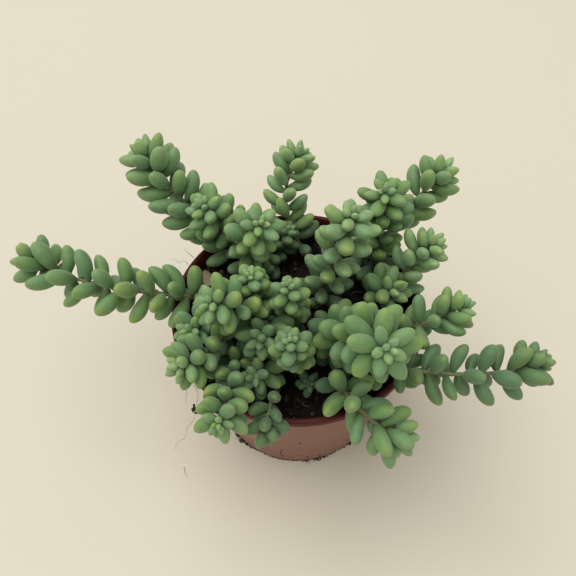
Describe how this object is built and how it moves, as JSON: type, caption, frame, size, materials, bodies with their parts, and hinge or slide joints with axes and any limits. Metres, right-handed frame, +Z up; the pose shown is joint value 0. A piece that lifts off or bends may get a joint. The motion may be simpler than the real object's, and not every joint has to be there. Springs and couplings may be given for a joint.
{
  "type": "potted trailing succulent",
  "caption": "Trailing stonecrop with plump, closely set leaves on many short stems, growing in a tapered round nursery pot filled with soil.",
  "frame": {"origin": "middle of the pot's underside, on the surface that the pot stands on", "axes": "+Z up along the pot's axis; -Y towards the front of the plant, the side that the picture shows; the longest stems trail along -X and +X"},
  "size_m": [0.2366, 0.1556, 0.1414],
  "materials": {
    "pot": "thin terracotta-coloured plastic, worn dusty outside, with a smoother dark red lip",
    "soil": "damp, dark, crumbly potting soil with fibres",
    "leaves": "plump waxy leaves, grey-green with a matte bloom, yellower where it is worn",
    "dry_leaf": "dry, tan, papery"
  },
  "bodies": {
    "root": {"pot": "pot", "soil": "soil", "dry_leaf": "dry_leaf", "stem_left_trailing": "leaves", "stem_back_left": "leaves", "stem_back_left_inner": "leaves", "stem_back_left_low": "leaves", "stem_back_middle": "leaves", "stem_centre_tall": "leaves", "stem_back_right_long": "leaves", "stem_back_right_short": "leaves", "stem_right_upper": "leaves", "stem_right_upper_low": "leaves", "stem_right_trailing": "leaves", "stem_big_rosette": "leaves", "stem_front_right": "leaves", "stem_front_left": "leaves", "stem_left_low": "leaves", "stem_left_rosette": "leaves", "stem_left_small": "leaves", "stem_small_back": "leaves", "stem_small_middle": "leaves", "stem_small_front": "leaves", "stem_thin_hanging": "leaves", "stem_right_inner": "leaves", "stem_soil_sprout": "leaves", "stem_back_sprout": "leaves", "stem_front_inner": "leaves", "stem_left_middle": "leaves", "stem_left_inner": "leaves"}
  },
  "joints": []
}
